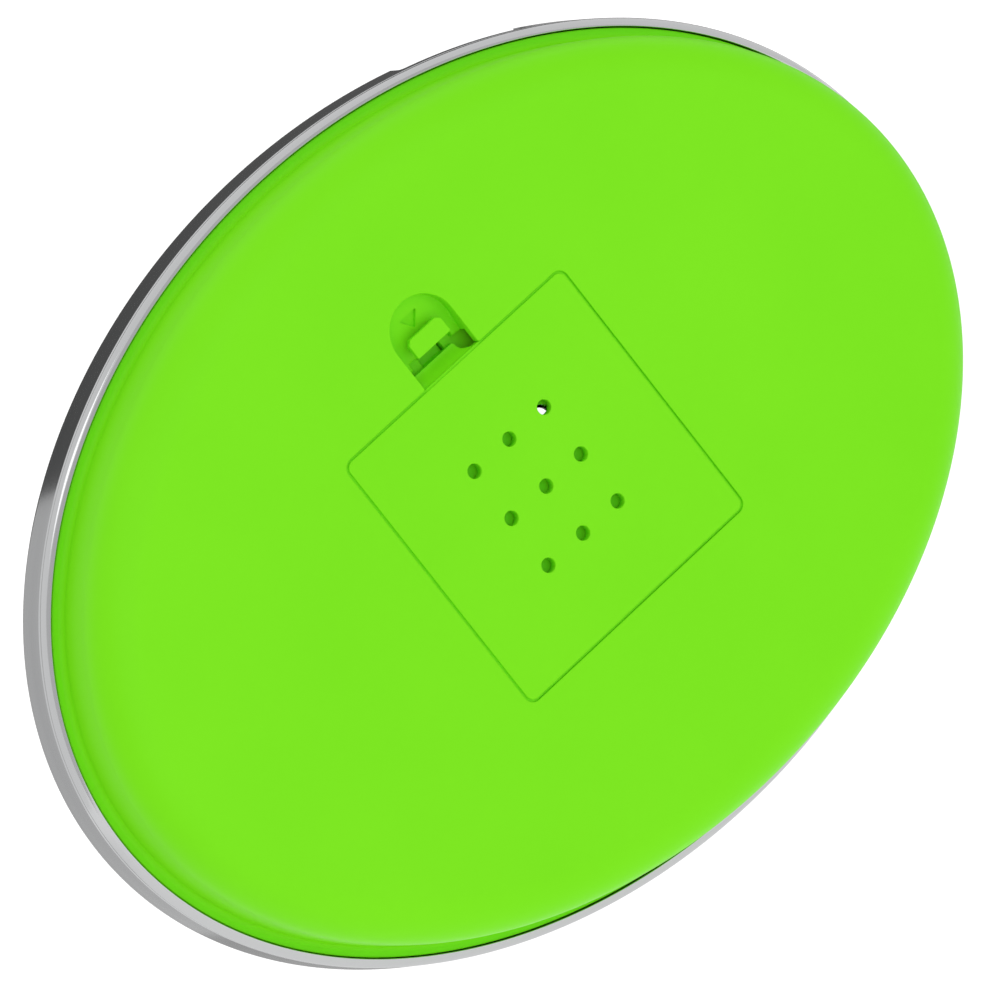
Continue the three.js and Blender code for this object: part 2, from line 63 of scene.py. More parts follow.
MM = 0.001
ROW_FROM_DRAWN = Matrix.Translation((0, CAD_BOX[0].y, 0)) @ Matrix.Scale(MM, 4)

# ---------- driving dimensions: the CAD's, refined where an edge shows ----------

HALF_LENGTH = 106.7
HALF_HEIGHT = 78.9
AROUND = 360  # sides of every oval ring
FINE = 24  # steps of the arcs round the doorway and the finger recess
GAP = 0.3

WALL = 2
SHOULDER_R = 9
SHOULDER_OFFSET = -11.4
SHELL_WALL_OFFSET = -2.3
LIP_Y = 19.3
LIP_OFFSET = 0.0
SPIGOT_Y = 26
SPIGOT_OFFSET = -1.2

HEM = {"inner": 0.22, "centre": 0, "y": 20.8, "r": 2.1}
HEM_BACK_Y = 20.6
CREASE = (1.8, 20.7)
BAND_BACK = (2.06, 21.05)
BAND_OFFSET = 2.4
BAND_TAPER = 0.1
BAND_FRONT_Y = 29.2
STEEL = 0.6
BEZEL_INNER = -4
NOTCH = {"x0": 38, "x1": 64, "y": 23.4, "r": 1.2}

FLANGE_Y = 26.3
FRAME_INNER = -13
PANE_FLANGE_Y = 28.5
PANE_OUTER = -4.3
PANE_FACE_Y = 32.2
PANE_T = 1.6

DOOR_HALF = 30
DOOR_R = 1.7
DOOR_T = 2.4
DOOR_GAP = 0.5
REBATE_Y = 0.5
HOLE_R = 1.5
HOLE_PITCH = (9.75, 11.96)

WELL = {"x": 34, "z0": -37, "z1": 43, "depth": 17, "r": 4}
LEDGE = {"x": 28.3, "z0": -26, "z1": 28, "y": 4.2, "r": 0.8}
RECESS = {"x": 7.4, "arc_z": 39.2, "end_z": 33.9, "end_depth": 4.1, "slope": 0.19}
CUP_BACK_Y = 5.6
CUP_X = 9.5
CUP_WALL = 1.5
FLOOR_FILLET = 0.35
FLOOR_ROLL = 0.4
ARROW = [(-2.3, 43.5), (0, 40.5), (2.3, 43.5)]
ARROW_R = 0.15
ARROW_DEPTH = 0.65
SLIT = 0.02  # keeps a wall that stands on the shell's sheet from sharing its vertices
TAB_SLOT = {"wide_x": 5.3, "wide_z": 35.5, "wide_r": 0.4, "x": 3.2, "z1": 38.3, "r": 0.5}
RAMP = {"cut_x": 4.4, "z": 33, "y0": 0.3, "y1": 3.9, "t": 1.3, "hollow": 1.7}
SHELF = {"z0": 27.5, "y": 8.6, "t": 1.5}
TAB = {"x": 4.4, "z0": 35.9, "z1": 39.9, "chamfer": 0.9, "y": 0.2, "t": 1.3}
SPRING = {"x": 2.6, "y": 7.9, "t": 1.2, "z": 31.6, "end_y": 5.5, "bend_r": 1.6}
LAND = {"y": 5.5, "z0": 28.5, "z1": 36.5}
TONGUE = {"at_x": 18, "x": 4, "z0": -32.5, "z1": -27.5, "t": 1.4, "root_z0": -29.4, "root_z1": -27.6}

TRAY = {"x": 26, "z": 24, "y0": 2.7, "floor_t": 2, "y1": 13, "wall": 1.5, "r": 3}
TRAY_PORT = (8.69, 9.66, 3.1)
PAD = {"x": 21.8, "z0": -20.8, "z1": 1.8, "r": 3, "y": 5.05, "t": 7.6}
RETAINER_Y = 13.3
RETAINER_T = 1.5
RETAINER_PORT = (12.32, 7.09, 2.6)
RETAINER_SLOT = {"x": 2, "pitch": 6.4, "each_side": 3, "z0": -19, "z1": 0, "r": 1.4}

GRILLE = {"x": 41, "z0": -38, "z1": 44, "r": 4}
GRILLE_Y = 17.3
GRILLE_T = 2
GRILLE_SLOT = {"x": 1.6, "pitch": 5.1, "each_side": 5, "rows": ((-32, 1), (5, 38)), "r": 1.2}
GRILLE_SCREWS = [(x, z) for z in (-30, 36) for x in (-36.8, 36.8)]
BOSS = {"r": 3.4, "foot_r": 3.6, "y": 17, "bore_r": 1.1, "bore_y": 8}
SEAL = {"inner": -0.9, "outer": -0.1, "t": 1.6}

FUNNEL = {"x": 60, "z": 20, "mouth": 9.5, "throat": 4, "wall": 1.2, "tip_y": 17.5}
PANE_SCREW_OFFSET = -8.5
HOLE_FOR_SCREW = 1.2
RIVETS = [(-8.5, 70), (8.5, 70)]
BRACKET = {"x": 12, "z0": 66.4, "z1": 73.2, "r": 2, "t": 1}
LOOP = {"y": 33.6, "z": 70.5, "wire_r": 1, "x": 13, "drop": 33, "corner_r": 9, "top_r": 3}
KNUCKLE = {"r": 2.1, "x": 4.5}

# ---------- outlines and sections ----------


def rounded(corners, steps=6):
    """A closed loop through (u, v, radius) corners, each turned into an arc."""
    loop = []
    for i, (u, v, r) in enumerate(corners):
        here = Vector((u, v))
        if not r:
            loop.append((u, v))
            continue
        back = (Vector(corners[i - 1][:2]) - here).normalized()
        ahead = (Vector(corners[(i + 1) % len(corners)][:2]) - here).normalized()
        half = back.angle(ahead) / 2
        centre = here + (back + ahead).normalized() * (r / math.sin(half))
        start = here + back * (r / math.tan(half)) - centre
        end = here + ahead * (r / math.tan(half)) - centre
        a0 = math.atan2(start.y, start.x)
        turn = (math.atan2(end.y, end.x) - a0 + math.pi) % math.tau - math.pi
        for k in range(steps + 1):
            a = a0 + turn * k / steps
            loop.append((centre.x + r * math.cos(a), centre.y + r * math.sin(a)))
    return [p for i, p in enumerate(loop) if math.dist(p, loop[i - 1]) > 1e-5]


def rectangle(x0, x1, z0, z1, r, steps=6):
    return rounded([(x0, z0, r), (x1, z0, r), (x1, z1, r), (x0, z1, r)], steps)


def circle(x, z, r, sides=32):
    turns = [math.tau * i / sides for i in range(sides)]
    return [(x + r * math.cos(a), z + r * math.sin(a)) for a in turns]


def arc(u, v, r, a0, a1, steps):
    """Points on an arc from a0 to a1 in degrees, both ends included."""
    turns = [math.radians(a0 + (a1 - a0) * i / steps) for i in range(steps + 1)]
    return [(u + r * math.cos(a), v + r * math.sin(a)) for a in turns]


def grown(loop, distance):
    """An anticlockwise loop with every side moved outward by a distance."""
    moved = []
    for i, here in enumerate(loop):
        before, after = loop[i - 1], loop[(i + 1) % len(loop)]
        n0 = Vector((here[1] - before[1], before[0] - here[0])).normalized()
        n1 = Vector((after[1] - here[1], here[0] - after[0])).normalized()
        mid = (n0 + n1).normalized()
        reach = distance / max(0.3, mid.dot(n0))
        moved.append((here[0] + mid.x * reach, here[1] + mid.y * reach))
    return moved


def on_oval(t, offset):
    nx, nz = math.cos(t) / HALF_LENGTH, math.sin(t) / HALF_HEIGHT
    n = math.hypot(nx, nz)
    x = HALF_LENGTH * math.cos(t) + offset * nx / n
    return x, HALF_HEIGHT * math.sin(t) + offset * nz / n


def oval(offset):
    return [on_oval(math.tau * i / AROUND, offset) for i in range(AROUND)]


def at(loop, y):
    return [(x, y, z) for x, z in loop]


def inside(points, loop):
    """Which of an array of points lie within a loop."""
    u, v = points[:, 0], points[:, 1]
    hit = np.zeros(len(points), bool)
    for (u0, v0), (u1, v1) in zip(loop, loop[1:] + loop[:1]):
        if v0 != v1:
            hit ^= ((v0 > v) != (v1 > v)) & (u < u0 + (v - v0) * (u1 - u0) / (v1 - v0))
    return hit


# ---------- meshes ----------

SUPPORT = 0.15  # flat margin beside a rounded edge, which keeps the flat face's shading flat
WELD = 1e-3


def rim(y0, y1, r0, r1, steps=4):
    """(inset, y) points round the edge of a plate, from just inside one face to just inside the other."""
    turns = [math.pi / 2 * i / steps for i in range(steps + 1)]
    front = [(r0 - r0 * math.sin(a), y0 + r0 - r0 * math.cos(a)) for a in turns] if r0 else [(0, y0)]
    back = [(r1 - r1 * math.cos(a), y1 - r1 + r1 * math.sin(a)) for a in turns] if r1 else [(0, y1)]
    return [(r0 + SUPPORT, y0), *front, *back, (r1 + SUPPORT, y1)]


class Surface:
    """Patches of a closed mesh. They are welded where their edges meet."""

    def __init__(self):
        self.bm = bmesh.new()

    def strip(self, *loops):
        """Quads between each closed loop of (x, y, z) points and the next."""
        rows = [[self.bm.verts.new(p) for p in loop] for loop in loops]
        for a, b in zip(rows, rows[1:]):
            for i in range(len(a)):
                j = (i + 1) % len(a)
                self.bm.faces.new((a[i], a[j], b[j], b[i]))

    def fill(self, loops, height, extra=()):
        """A face within the first loop and outside the others, at height y or height(x, z)."""
        flat, edges = [], []
        for loop in loops:
            first, count = len(flat), len(loop)
            flat += loop
            edges += [(first + i, first + (i + 1) % count) for i in range(count)]
        flat += extra
        points, _, faces, *_ = delaunay_2d_cdt([Vector(p) for p in flat], edges, [], 0, 1e-6, False)
        points, faces = np.array(points), np.array(faces)
        middles = points[faces].mean(axis=1)
        keep = inside(middles, loops[0])
        for hole in loops[1:]:
            keep &= ~inside(middles, hole)
        lift = height if callable(height) else lambda x, z: height
        verts = [self.bm.verts.new((x, lift(x, z), z)) for x, z in points.tolist()]
        for face in faces[keep].tolist():
            self.bm.faces.new([verts[i] for i in face])

    def slab(self, outline, y0, y1, holes=(), edges=(0.2, 0.2), hole_edges=(0.1, 0.1)):
        """A plate in the XZ plane, with rounded edges on its y0 and y1 faces."""
        front, back = [], []
        for loop, side, radii in [(outline, -1, edges), *((h, 1, hole_edges) for h in holes)]:
            rows = [(grown(loop, side * inset), y) for inset, y in rim(y0, y1, *radii)]
            self.strip(*(at(row, y) for row, y in rows))
            front.append(rows[0][0])
            back.append(rows[-1][0])
        self.fill(front, y0)
        self.fill(back, y1)

    def ring(self, section, closed=True):
        """A section swept round the seam oval."""
        points = [*section, section[0]] if closed else section
        self.strip(*(at(oval(offset), y) for offset, y in points))

    def lathe(self, x, z, profile, sides=32, closed=True):
        """A profile of (radius, y) points turned about an axis along Y."""
        points = [*profile, profile[0]] if closed else profile
        self.strip(*(at(circle(x, z, r, sides), y) for r, y in points))

    def turn_to_x(self):
        """Turns what was drawn in (x, z), thick along y, into (z, y), thick along x."""
        for v in self.bm.verts:
            v.co = (v.co.y, v.co.z, v.co.x)

    def add(self, other):
        """Takes another surface's patches in."""
        mesh = bpy.data.meshes.new("part")
        other.bm.to_mesh(mesh)
        self.bm.from_mesh(mesh)
        bpy.data.meshes.remove(mesh)

    def to_object(self, name):
        bmesh.ops.remove_doubles(self.bm, verts=self.bm.verts, dist=WELD)
        loose = [v for v in self.bm.verts if not v.link_faces]
        bmesh.ops.delete(self.bm, geom=loose, context="VERTS")
        bmesh.ops.recalc_face_normals(self.bm, faces=self.bm.faces)
        self.bm.transform(ROW_FROM_DRAWN)
        mesh = bpy.data.meshes.new(name)
        self.bm.to_mesh(mesh)
        self.bm.free()
        obj = bpy.data.objects.new(name, mesh)
        bpy.context.scene.collection.objects.link(obj)
        return obj


def soften(obj, degrees):
    obj.data.shade_smooth()
    obj.data.set_sharp_from_angle(angle=math.radians(degrees))


def place(shape, node, body, finish, sharp=38):
    """Puts a finished shape in the scene, in place of its CAD node."""
    obj = shape if isinstance(shape, bpy.types.Object) else shape.to_object(f"{node}_look")
    soften(obj, sharp)
    obj.data.materials.clear()
    obj.data.materials.append(finish)
    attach(obj, body)
    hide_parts(node)
    return obj


def carve(obj, tool):
    """Cuts one closed mesh out of another."""
    cut = obj.modifiers.new("cut", "BOOLEAN")
    cut.operation, cut.solver, cut.object = "DIFFERENCE", "EXACT", tool
    graph = bpy.context.evaluated_depsgraph_get()
    mesh = bpy.data.meshes.new_from_object(obj.evaluated_get(graph))
    obj.modifiers.clear()
    obj.data = mesh
    bpy.data.objects.remove(tool)
    return obj


# ---------- finishes ----------


def finish_of(name, colours, roughness, grain, bump, stretch=(1, 1, 1), broad=25, **sockets):
    """A Principled material. A broad noise drifts between two colours. A fine grain, so many to
    the metre, varies the roughness and raises a bump, which is given in millimetres."""
    material = bpy.data.materials.new(name)
    material.use_nodes = True
    nodes, links = material.node_tree.nodes, material.node_tree.links
    shader = nodes["Principled BSDF"]
    for socket, value in sockets.items():
        shader.inputs[socket.replace("_", " ")].default_value = value

    where = nodes.new("ShaderNodeTexCoord").outputs["Object"]
    mapping = nodes.new("ShaderNodeMapping")
    mapping.inputs["Scale"].default_value = stretch
    links.new(where, mapping.inputs["Vector"])

    def noise_at(scale, detail):
        node = nodes.new("ShaderNodeTexNoise")
        node.inputs["Scale"].default_value = scale
        node.inputs["Detail"].default_value = detail
        links.new(mapping.outputs["Vector"], node.inputs["Vector"])
        return node.outputs["Fac"]

    ramp = nodes.new("ShaderNodeValToRGB")
    for element, colour, position in zip(ramp.color_ramp.elements, colours, (0.3, 0.7)):
        element.color, element.position = (*colour, 1), position
    links.new(noise_at(broad, 2), ramp.inputs["Fac"])
    links.new(ramp.outputs["Color"], shader.inputs["Base Color"])

    fine = noise_at(grain, 3)
    spread = nodes.new("ShaderNodeMapRange")
    spread.inputs["To Min"].default_value, spread.inputs["To Max"].default_value = roughness
    links.new(fine, spread.inputs["Value"])
    links.new(spread.outputs["Result"], shader.inputs["Roughness"])

    raised = nodes.new("ShaderNodeBump")
    raised.inputs["Distance"].default_value = bump * MM
    links.new(fine, raised.inputs["Height"])
    links.new(raised.outputs["Normal"], shader.inputs["Normal"])
    return material


LIME = finish_of(
    "lime_plastic",
    ((0.189, 0.762, 0.008), (0.198, 0.777, 0.009)),
    roughness=(0.34, 0.50),
    grain=2600,
    bump=0.006,
    Specular_IOR_Level=0.08,
)
BLACK = finish_of(
    "black_plastic",
    ((0.010, 0.0105, 0.010), (0.015, 0.016, 0.015)),
    roughness=(0.38, 0.58),
    grain=1800,
    bump=0.01,
)
RUBBER = finish_of(
    "seal_rubber",
    ((0.006, 0.007, 0.006), (0.010, 0.011, 0.010)),
    roughness=(0.7, 0.9),
    grain=900,
    bump=0.02,
)
STEEL_FINISH = finish_of(
    "polished_steel",
    ((0.49, 0.495, 0.50), (0.53, 0.535, 0.54)),
    roughness=(0.08, 0.15),
    grain=60,
    bump=0.002,
    stretch=(1, 55, 1),
    broad=6,
    Metallic=1.0,
)
SCREW_FINISH = finish_of(
    "screw_steel",
    ((0.46, 0.46, 0.47), (0.54, 0.54, 0.55)),
    roughness=(0.22, 0.4),
    grain=1500,
    bump=0.004,
    Metallic=1.0,
)
CLEAR = finish_of(
    "clear_window",
    ((0.955, 0.975, 0.97), (0.97, 0.985, 0.98)),
    roughness=(0.0, 0.035),
    grain=400,
    bump=0.0005,
    IOR=1.49,
    Transmission_Weight=1.0,
)
FELT = finish_of(
    "lure_felt",
    ((0.66, 0.60, 0.44), (0.80, 0.75, 0.60)),
    roughness=(0.85, 1.0),
    grain=1400,
    bump=0.12,
    broad=160,
    Sheen_Weight=0.4,
)

# ---------- rear case ----------


def floor_depth(x, z):
    """How deep the finger recess is: a tilted floor that rounds up into the outer wall and
    rolls off at the tab's slot."""
    half, arc_z, end_z = RECESS["x"], RECESS["arc_z"], RECESS["end_z"]
    depth = RECESS["end_depth"] - RECESS["slope"] * (z - end_z)
    from_wall = half - (math.hypot(x, z - arc_z) if z > arc_z else abs(x))
    depth -= FLOOR_FILLET - rounding(FLOOR_FILLET, from_wall)
    to_wide = gap_to(x, z, TAB_SLOT["wide_x"], TAB_SLOT["wide_z"])
    to_narrow = gap_to(x, z, TAB_SLOT["x"], TAB_SLOT["z1"])
    depth += FLOOR_ROLL - rounding(FLOOR_ROLL, min(to_wide, to_narrow, z - end_z))
    return max(depth, 0.25)


def rounding(r, away):
    """The height of a quarter round of radius r, at a distance from where it starts."""
    return r if away >= r else math.sqrt(r**2 - (r - max(0, away)) ** 2)


def gap_to(x, z, half_x, top_z):
    """The distance from a point to a slot that is centred on x = 0 and ends at top_z."""
    beside, above = abs(x) - half_x, z - top_z
    return math.hypot(beside, above) if beside > 0 and above > 0 else max(beside, above)


def finger_recess(surface):
    """The cup under the shell's opening: a wall that follows the D and a floor round the tab."""
    half, arc_z, end_z = RECESS["x"], RECESS["arc_z"], RECESS["end_z"]
    top = arc_z + half
    out = half + CUP_WALL
    wall = rounded(
        [
            (half, end_z, 0),
            (out, end_z, 0),
            (out, arc_z + out, out),
            (-out, arc_z + out, out),
            (-out, end_z, 0),
            (-half, end_z, 0),
        ],
        FINE,
    ) + list(reversed(arc(0, arc_z, half, 0, 180, 2 * FINE)))
    surface.slab(wall, WALL + SLIT, CUP_BACK_Y, edges=(0, 0))

    wide, wide_z, wide_r = TAB_SLOT["wide_x"], TAB_SLOT["wide_z"], TAB_SLOT["wide_r"]
    narrow, narrow_z, narrow_r = TAB_SLOT["x"], TAB_SLOT["z1"], TAB_SLOT["r"]
    floor = rounded(
        [
            (-half, end_z, 0),
            (-wide, end_z, 0),
            (-wide, wide_z, wide_r),
            (-narrow, wide_z, narrow_r),
            (-narrow, narrow_z, narrow_r),
            (narrow, narrow_z, narrow_r),
            (narrow, wide_z, narrow_r),
            (wide, wide_z, wide_r),
            (wide, end_z, 0),
            (half, end_z, 0),
            (half, top, half),
            (-half, top, half),
        ],
        FINE,
    )
    arrow = rounded([(x, z, ARROW_R) for x, z in ARROW], 3)
    spacing, clearance = 0.3, 0.12
    grid = np.mgrid[-half:half:spacing, end_z:top:spacing].reshape(2, -1).T
    clear = inside(grid, grown(floor, -clearance)) & ~inside(grid, grown(arrow, 0.1))
    rings = [p for inset in (0.05, 0.15) for p in grown(floor, -inset)]
    surface.fill([floor, arrow], floor_depth, [*map(tuple, grid[clear].tolist()), *rings])
    surface.strip([(x, floor_depth(x, z), z) for x, z in floor], at(floor, CUP_BACK_Y))
    surface.fill([floor], CUP_BACK_Y)

    def sunk(x, z):
        return floor_depth(x, z) + ARROW_DEPTH

    bed = grown(arrow, -clearance)
    surface.strip(
        [(x, floor_depth(x, z), z) for x, z in arrow],
        [(x, sunk(x, z), z) for x, z in bed],
    )
    surface.fill([bed], sunk)


def shell_section():
    """The shell from the edge of its flat face round the shoulder, lip and spigot to its inside."""
    inner_r = SHOULDER_R - WALL
    crease_r, lip_r, spigot_r = 1.3, 0.25, 0.4
    return [
        (SHOULDER_OFFSET - 1, 0),
        *arc(SHOULDER_OFFSET, SHOULDER_R, SHOULDER_R, -90, 0, 16),
        *arc(SHELL_WALL_OFFSET + crease_r, LIP_Y - crease_r, crease_r, 180, 90, 12),
        *arc(LIP_OFFSET - lip_r, LIP_Y + lip_r, lip_r, -90, 0, 4),
        (LIP_OFFSET, LIP_Y + WALL),
        (SPIGOT_OFFSET, LIP_Y + WALL),
        *arc(SPIGOT_OFFSET - spigot_r, SPIGOT_Y - spigot_r, spigot_r, 0, 90, 3),
        *arc(SPIGOT_OFFSET - WALL + spigot_r, SPIGOT_Y - spigot_r, spigot_r, 90, 180, 3),
        (SPIGOT_OFFSET - WALL, LIP_Y + 1.2),
        (SHOULDER_OFFSET + inner_r, LIP_Y),
        *arc(SHOULDER_OFFSET, SHOULDER_R, inner_r, 0, -90, 10),
        (SHOULDER_OFFSET - 1, WALL),
    ]


def bait_bay(surface):
    """The bay's walls, which leave out the recess that they cross, with its ledges and shelf."""
    x, z0, z1, r = WELL["x"], WELL["z0"], WELL["z1"], WELL["r"]
    clear = RECESS["x"] + 1.2
    inner = r - WALL
    foot = rounded(
        [
            (-clear, z1, 0),
            (-x, z1, r),
            (-x, z0, r),
            (x, z0, r),
            (x, z1, r),
            (clear, z1, 0),
            (clear, z1 - WALL, 0),
            (x - WALL, z1 - WALL, inner),
            (x - WALL, z0 + WALL, inner),
            (-x + WALL, z0 + WALL, inner),
            (-x + WALL, z1 - WALL, inner),
            (-clear, z1 - WALL, 0),
        ]
    )
    foot_y = CUP_BACK_Y - 0.5
    surface.slab(foot, WALL + SLIT, foot_y, edges=(0, 0))
    bay = rectangle(-x + WALL, x - WALL, z0 + WALL, z1 - WALL, inner)
    surface.slab(rectangle(-x, x, z0, z1, r), foot_y, WELL["depth"], [bay], (0, 0.3), (0, 0.3))
    for side in (-1, 1):
        near, far = sorted((side * LEDGE["x"], side * (x - 1)))
        ledge = rectangle(near, far, LEDGE["z0"], LEDGE["z1"], LEDGE["r"])
        surface.slab(ledge, DOOR_T + GAP, LEDGE["y"], edges=(0, 0.3))
    shelf = rectangle(1 - x, x - 1, SHELF["z0"], z1 - 1, 0.5)
    surface.slab(shelf, SHELF["y"], SHELF["y"] + SHELF["t"])
    for side in (-1, 1):
        near, far = sorted((side * (SPRING["x"] + GAP), side * CUP_X))
        surface.slab(rectangle(near, far, LAND["z0"], LAND["z1"], 0.3), LAND["y"], SHELF["y"] + 0.3)


def rear_shell():
    s = Surface()
    s.ring(shell_section(), closed=False)
    doorway = DOOR_HALF + DOOR_GAP
    half = RECESS["x"]
    top = RECESS["arc_z"] + half
    corner_r, neck_r, edge = 2.2, 0.45, 0.18
    opening = rounded(
        [
            (-doorway, -doorway, corner_r),
            (doorway, -doorway, corner_r),
            (doorway, doorway, corner_r),
            (half, doorway, neck_r),
            (half, top, half),
            (-half, top, half),
            (-half, doorway, neck_r),
            (-doorway, doorway, corner_r),
        ],
        FINE,
    )
    rows = [(grown(opening, inset), y) for inset, y in rim(0, WALL, edge, 0)]
    s.strip(*(at(row, y) for row, y in rows))
    s.fill([oval(SHOULDER_OFFSET - 1), rows[0][0]], 0)
    s.fill([oval(SHOULDER_OFFSET - 1), rows[-1][0]], WALL)
    finger_recess(s)
    bait_bay(s)
    bore, deep, high = BOSS["bore_r"], BOSS["bore_y"], BOSS["y"]
    boss = [(bore, deep), (bore, high), (BOSS["r"] - 0.3, high), (BOSS["r"], high - 0.3)]
    boss += [(BOSS["foot_r"], WALL), (0, WALL), (0, deep)]
    for x, z in GRILLE_SCREWS:
        s.lathe(x, z, boss)
    return s


def seal_ring():
    s = Surface()
    inner, outer = SEAL["inner"], SEAL["outer"]
    y0 = LIP_Y + WALL + GAP
    y1 = y0 + SEAL["t"]
    s.ring(rounded([(inner, y0, 0.25), (outer, y0, 0.35), (outer, y1, 0.35), (inner, y1, 0.25)], 3))
    return s


def bait_grille():
    s = Surface()
    pitch, half, r = GRILLE_SLOT["pitch"], GRILLE_SLOT["x"], GRILLE_SLOT["r"]
    slots = []
    for i in range(-GRILLE_SLOT["each_side"], GRILLE_SLOT["each_side"] + 1):
        for z0, z1 in GRILLE_SLOT["rows"]:
            slots.append(rectangle(i * pitch - half, i * pitch + half, z0, z1, r, 4))
    holes = [circle(x, z, 1.3, 20) for x, z in GRILLE_SCREWS]
    plate = rectangle(-GRILLE["x"], GRILLE["x"], GRILLE["z0"], GRILLE["z1"], GRILLE["r"])
    s.slab(plate, GRILLE_Y, GRILLE_Y + GRILLE_T, slots + holes, (0.3, 0.3), (0.2, 0.2))
    return s


def cross(x, z, long, wide):
    """A plus-shaped outline, for a screw's recess."""
    a, b = long, wide
    corners = [(b, -a), (b, -b), (a, -b), (a, b), (b, b), (b, a), (-b, a), (-b, b), (-a, b), (-a, -b)]
    corners += [(-b, -b), (-b, -a)]
    return [(x + u, z + v) for u, v in corners]


def screw(x, z, y, length):
    """A pan-head screw along -Y, with the underside of its head at y."""
    s = Surface()
    head_r, head_h, dome_drop = 2.1, 1.4, 0.55
    brow_r = head_r * 0.82
    cross_y = y + 0.45

    def dome(px, pz):
        away = math.hypot(px - x, pz - z) / head_r
        return y + head_h - dome_drop * away**2

    wide, deep = cross(x, z, 1.15, 0.28), cross(x, z, 0.7, 0.16)
    crown = [p for r in (0.6, 1.0, 1.35) for p in circle(x, z, r, 24)]
    crown = [p for p in crown if not inside(np.array([p]), grown(wide, 0.06))[0]]
    s.fill([circle(x, z, brow_r), wide], dome, crown)
    s.strip([(px, dome(px, pz), pz) for px, pz in wide], at(deep, cross_y))
    s.fill([deep], cross_y)

    shank_r, pitch, thread = 1.0, 0.9, 0.25
    profile = [(brow_r, dome(x + brow_r, z)), (head_r * 0.95, y + 0.72), (head_r, y + 0.45)]
    profile += [(head_r, y + 0.1), (head_r - 0.1, y), (shank_r, y)]
    for i in range(int(length / pitch)):
        low = y - 0.5 - i * pitch
        profile += [(shank_r, low), (shank_r - thread, low - pitch / 2)]
    profile += [(0.55, y - length + 0.2), (0, y - length)]
    s.lathe(x, z, profile, closed=False)
    return s


# ---------- front cover ----------


def hem_section():
    """The rolled edge: a small corner beside the lime lip, a long round and a tight roll into
    the crease."""
    flattest, steepest = -79, -18
    corner_r, roll_r = 0.15, 0.3
    long_round = arc(HEM["centre"], HEM["y"], HEM["r"], flattest, steepest, 20)
    slope = math.tan(math.radians(90 + flattest))
    corner_y = long_round[0][1] - slope * (long_round[0][0] - HEM["inner"] - corner_r) + corner_r
    tip, turn = long_round[-1], math.radians(steepest)
    roll = arc(tip[0] - roll_r * math.cos(turn), tip[1] - roll_r * math.sin(turn), roll_r, steepest, 60, 6)
    return [
        (HEM["inner"], HEM_BACK_Y),
        *arc(HEM["inner"] + corner_r, corner_y, corner_r, 180, 360 + flattest, 5),
        *long_round,
        *roll[1:],
    ]


def band_section():
    """The plain band and its turned-in front. A support point near each end of the band keeps
    the shading flat between them."""
    inside_offset = BAND_OFFSET - STEEL
    back_support = (BAND_BACK[0] + 0.01, BAND_BACK[1] + 0.3, 0)
    front_support = (BAND_OFFSET - 0.02, BAND_FRONT_Y - 1.2, 0)
    return rounded(
        [
            (*CREASE, 0),
            (*BAND_BACK, 0.1),
            back_support,
            front_support,
            (BAND_OFFSET, BAND_FRONT_Y, 0.8),
            (BEZEL_INNER, BAND_FRONT_Y, 0.25),
            (BEZEL_INNER, BAND_FRONT_Y - STEEL, 0.25),
            (inside_offset, BAND_FRONT_Y - STEEL, 0.4),
            (inside_offset - BAND_TAPER, HEM_BACK_Y, 0),
        ],
        5,
    )


def thumb_cutter():
    """A block through the top of the band, from its front edge down to the foot of the notch."""
    z0, z1, past = 50, 90, BAND_FRONT_Y + 3
    outline = rounded(
        [
            (NOTCH["x0"], NOTCH["y"], NOTCH["r"]),
            (NOTCH["x1"], NOTCH["y"], NOTCH["r"]),
            (NOTCH["x1"], past, 0),
            (NOTCH["x0"], past, 0),
        ]
    )
    block = Surface()
    block.slab(outline, -z1, -z0, edges=(0, 0))
    for v in block.bm.verts:
        v.co = (v.co.x, v.co.z, -v.co.y)
    return block.to_object("thumb")


def steel_bezel():
    s = Surface()
    s.ring([*hem_section(), *band_section()])
    return carve(s.to_object("steel_bezel_look"), thumb_cutter())


def pane_screws():
    count = 6
    return [on_oval(math.tau * i / count, PANE_SCREW_OFFSET) for i in range(count)]


def flange(surface, y0, y1, inner, outer):
    """Both faces of a flat flange between two oval loops, with its screw and rivet holes."""
    holes = [circle(x, z, HOLE_FOR_SCREW, 20) for x, z in [*pane_screws(), *RIVETS]]
    for y in (y0, y1):
        surface.fill([oval(outer), oval(inner), *holes], y)
    for hole in holes:
        surface.strip(at(hole, y0), at(hole, y1))


def cover_frame():
    s = Surface()
    top = PANE_FLANGE_Y - GAP
    inner, outer = -12, -5
    skirt_inner, skirt_outer = 0.2, BAND_OFFSET - STEEL - BAND_TAPER - GAP
    skirt_y = HEM_BACK_Y + GAP
    skirt_edge, edge = 0.2, 0.3
    s.ring(
        [
            (outer, FLANGE_Y),
            (skirt_inner, FLANGE_Y),
            (skirt_inner, skirt_y),
            (skirt_outer, skirt_y),
            (skirt_outer, top - skirt_edge),
            (skirt_outer - skirt_edge, top),
            (outer, top),
        ],
        closed=False,
    )
    s.ring(
        [
            (inner, FLANGE_Y),
            (FRAME_INNER + edge, FLANGE_Y),
            (FRAME_INNER, FLANGE_Y + edge),
            (FRAME_INNER, top - edge),
            (FRAME_INNER + edge, top),
            (inner, top),
        ],
        closed=False,
    )
    flange(s, FLANGE_Y, top, inner, outer)
    return s


